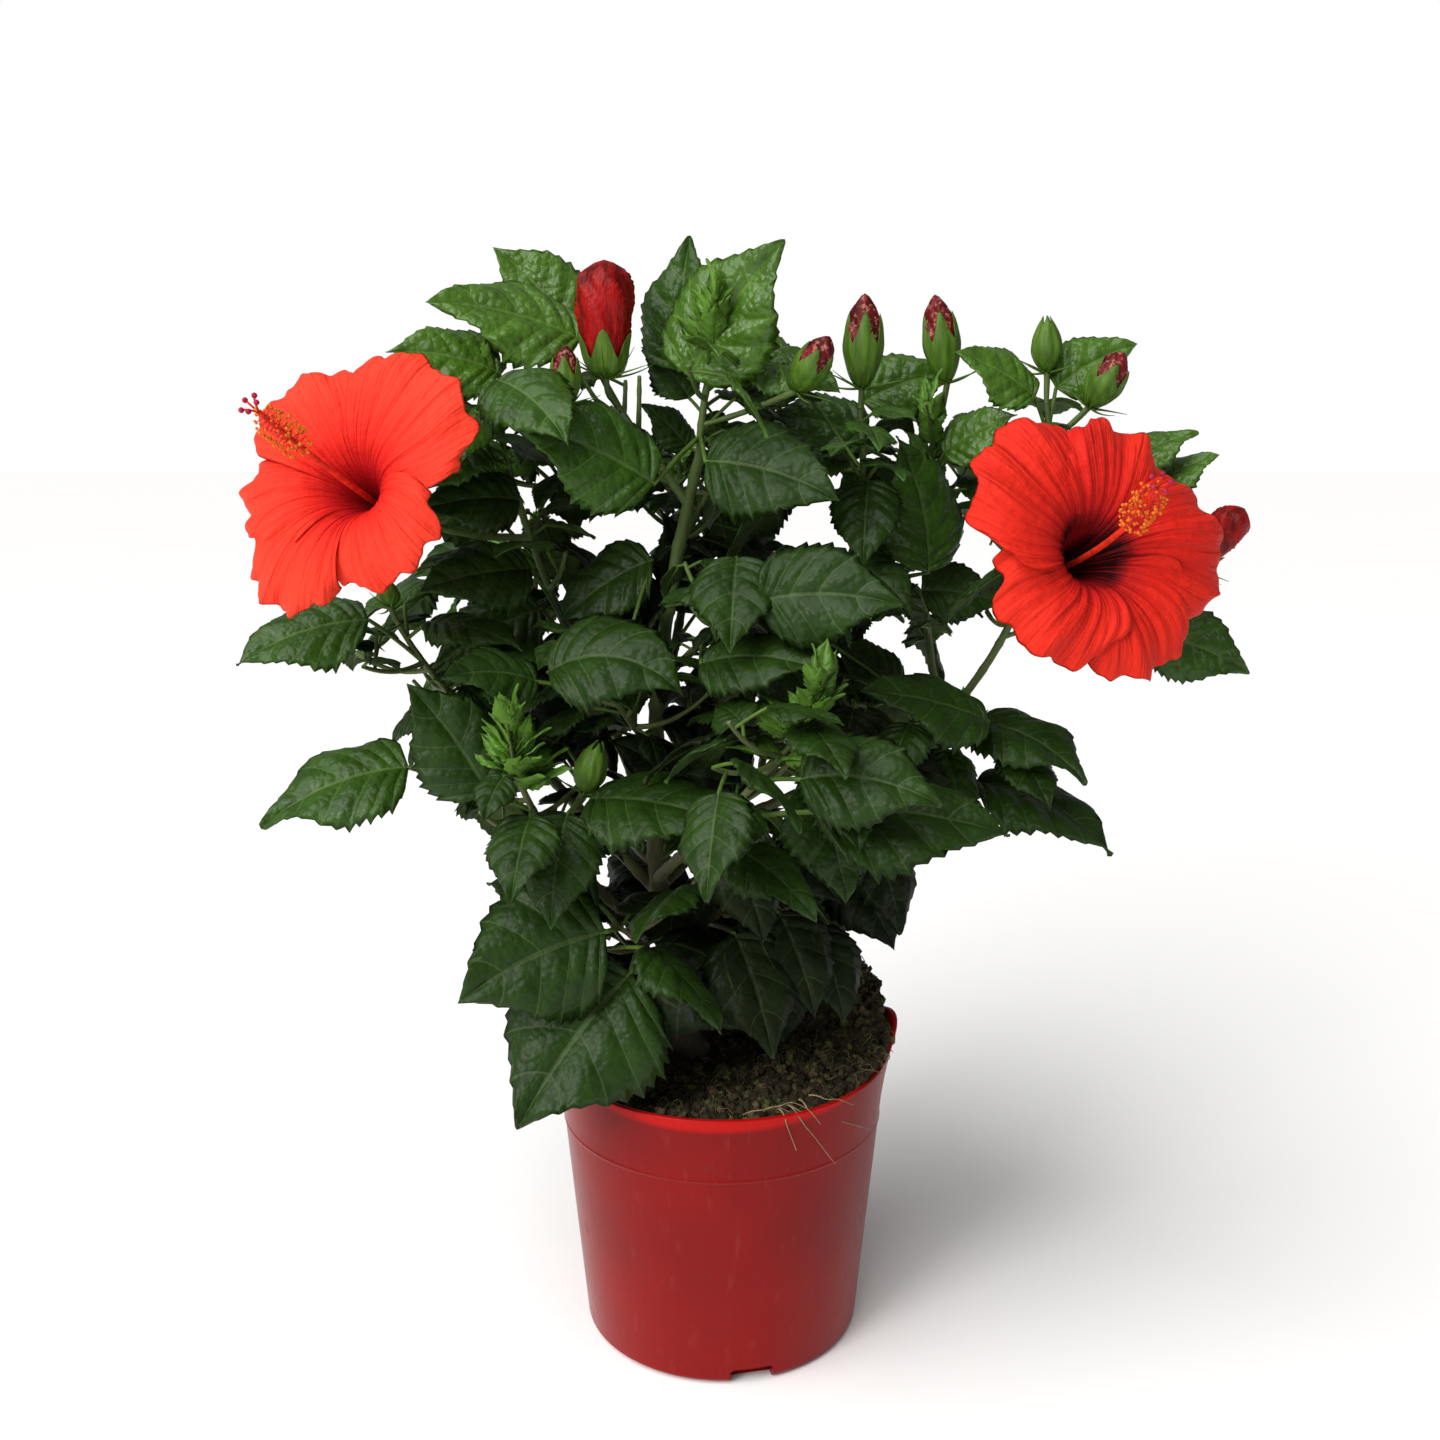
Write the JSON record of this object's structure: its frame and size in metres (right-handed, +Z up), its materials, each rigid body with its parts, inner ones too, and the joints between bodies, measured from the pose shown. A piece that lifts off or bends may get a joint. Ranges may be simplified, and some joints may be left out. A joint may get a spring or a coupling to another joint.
{
  "type": "hibiscus shrub",
  "caption": "Flowering hibiscus shrub in a round nursery pot: a branched woody stem, broad toothed leaves, open funnel flowers and buds, with compost heaped in the pot.",
  "frame": {"origin": "centre of the pot's flat underside", "axes": "+Z up; the side in the picture faces -Y and +X is to its right"},
  "size_m": [0.4002, 0.2778, 0.4551],
  "materials": {
    "pot": "satin gloss moulded plastic",
    "soil": "crumbly dark compost",
    "bark": "green bark, grey-tan at the foot",
    "foliage": "glossy green leaves",
    "petals": "soft orange-red petals"
  },
  "bodies": {
    "root": {"pot": "pot", "soil": "soil", "trunk": "bark", "bough_back": "bark", "bough_back_left": "bark", "bough_back_right": "bark", "bough_front": "bark", "bough_left_far": "bark", "bough_left_high": "bark", "bough_left_low": "bark", "bough_right_back": "bark", "bough_right_centre": "bark", "bough_right_high": "bark", "bough_right_low": "bark", "heart_high": "foliage", "heart_left": "foliage", "heart_low": "foliage", "heart_right": "foliage", "leaves_back": "foliage", "leaves_back_left": "foliage", "leaves_back_right": "foliage", "leaves_front": "foliage", "leaves_left_far": "foliage", "leaves_left_high": "foliage", "leaves_left_low": "foliage", "leaves_right_back": "foliage", "leaves_right_centre": "foliage", "leaves_right_high": "foliage", "leaves_right_low": "foliage", "leaves_top": "foliage", "leaves_top_left": "foliage", "skirt_left": "foliage", "skirt_right": "foliage", "flower_left": "petals", "flower_right": "petals"}
  },
  "joints": []
}
